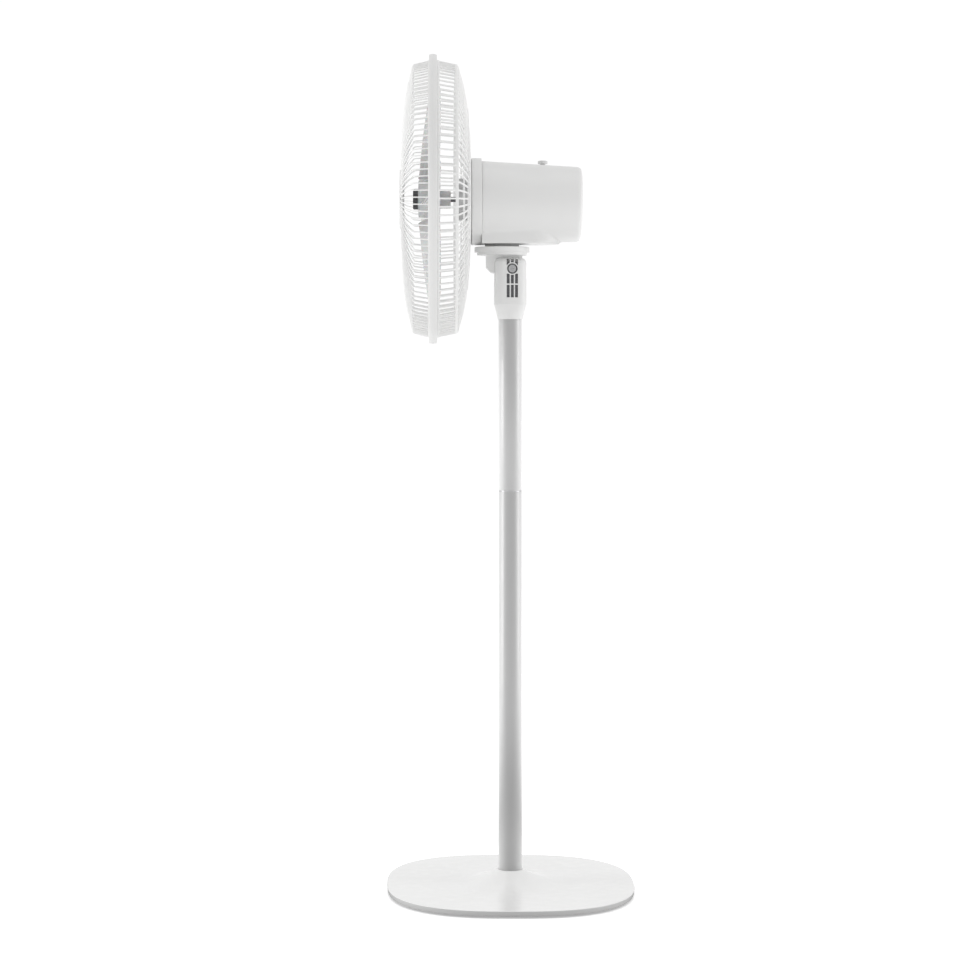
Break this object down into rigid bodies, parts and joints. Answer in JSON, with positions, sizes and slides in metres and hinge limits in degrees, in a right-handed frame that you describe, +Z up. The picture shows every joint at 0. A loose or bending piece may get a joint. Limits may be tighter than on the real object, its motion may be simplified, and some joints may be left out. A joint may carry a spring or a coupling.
{
  "type": "pedestal fan",
  "caption": "Pedestal fan: caged blade on a drum motor head that swings and tilts on a neck, tubular pole and weighted rounded-square base.",
  "frame": {"origin": "on the floor under the axis of the pole, at the centre of the base", "axes": "+Z up along the pole; the fan blows towards -X; +Y is its left as seen from in front"},
  "size_m": [0.3759, 0.4409, 1.2735],
  "materials": {
    "white_plastic": "satin moulded ABS",
    "white_pole": "smooth white powder coat",
    "grille_plastic": "satin moulded ABS",
    "ring_plastic": "satin moulded ABS",
    "blade_plastic": "smooth translucent white",
    "grey_plastic": "satin",
    "dark_plastic": "satin",
    "nylon": "natural nylon",
    "rubber": "matte",
    "steel": "zinc plated",
    "dark_steel": "blackened",
    "core_steel": "laminated sheet",
    "cast_iron": "rough, painted",
    "aluminium": "die cast",
    "brass": "sintered bronze",
    "copper": "enamelled copper wire"
  },
  "bodies": {
    "stand": {"base_cover": "white_plastic", "base_weight": "cast_iron", "base_feet": "rubber", "base_screws": "steel", "cord_grommet": "rubber", "pole_socket": "steel", "socket_screws": "steel", "pole_lower": "white_pole", "pole_coupler": "steel", "pole_upper": "white_pole", "tilt_bracket": "steel", "neck_shell_left": "white_plastic", "neck_shell_right": "white_plastic", "tilt_bolt": "steel", "tilt_nut": "steel", "friction_washers": "nylon"},
    "tilt_arm": {"tilt_knuckle": "white_plastic", "turntable_disc": "white_plastic", "oscillation_spindle": "steel", "spindle_clip": "steel", "link_post": "steel"},
    "head": {"motor_housing": "white_plastic", "front_cover": "white_plastic", "housing_screws": "steel", "turntable_boss": "grey_plastic", "head_carrier": "aluminium", "spindle_bushing": "brass", "motor_front_bracket": "aluminium", "motor_rear_bracket": "aluminium", "stator_core": "core_steel", "stator_windings": "copper", "front_bearing": "brass", "rear_bearing": "brass", "motor_screws": "steel", "gearbox_case": "aluminium", "gearbox_cover": "aluminium", "speed_switch": "dark_plastic", "capacitor": "dark_plastic", "rear_grille": "grille_plastic", "grille_nut": "grey_plastic", "front_grille": "grille_plastic", "front_cap": "white_plastic", "grille_ring": "ring_plastic", "ring_screw": "steel", "ring_nut": "steel"},
    "rotor": {"motor_shaft": "dark_steel", "rotor_core": "core_steel", "fan_blade": "blade_plastic", "drive_pin": "steel", "spinner_nut": "dark_plastic", "worm": "steel"},
    "worm_wheel": {"worm_wheel": "nylon"},
    "crank": {"crank": "steel"},
    "link": {"oscillation_link": "steel"},
    "pull_knob": {"oscillation_knob": "white_plastic", "clutch_rod": "steel"},
    "speed_knob": {"speed_knob": "white_plastic"}
  },
  "joints": [
    {"name": "head_tilt", "type": "hinge", "parent": "stand", "child": "tilt_arm", "pos_m": [0.0025, 0, 0.9467], "axis": [0, 1, 0], "range_deg": [-10, 15]},
    {"name": "oscillation", "type": "hinge", "parent": "tilt_arm", "child": "head", "pos_m": [-0.0126, 0, 0.98], "axis": [0, 0, 1], "range_deg": [-40, 40]},
    {"name": "blade_spin", "type": "hinge", "parent": "head", "child": "rotor", "pos_m": [0, 0, 1.053], "axis": [1, 0, 0], "continuous": true},
    {"name": "worm_wheel_spin", "type": "hinge", "parent": "head", "child": "worm_wheel", "pos_m": [0.0504, 0.017, 1.02], "axis": [0, 0, 1], "continuous": true},
    {"name": "crank_turn", "type": "hinge", "parent": "head", "child": "crank", "pos_m": [0.0504, 0.017, 1.02], "axis": [0, 0, 1], "range_deg": [-92, 92]},
    {"name": "link_swing", "type": "hinge", "parent": "crank", "child": "link", "pos_m": [0.0504, 0.02825, 0.99], "axis": [0, 0, 1], "range_deg": [-92, 92]},
    {"name": "pull_knob_slide", "type": "slide", "parent": "head", "child": "pull_knob", "axis": [0, 0, 1], "range_m": [0, 0.006]},
    {"name": "speed_knob_turn", "type": "hinge", "parent": "head", "child": "speed_knob", "pos_m": [0.1, 0, 1.045], "axis": [1, 0, 0], "range_deg": [0, 135]}
  ],
  "couplings": [
    {"joint": "worm_wheel_spin", "follows": "blade_spin", "ratio": 0.041667},
    {"joint": "crank_turn", "follows": "oscillation", "ratio": -2.25},
    {"joint": "link_swing", "follows": "oscillation", "ratio": 2.25}
  ]
}
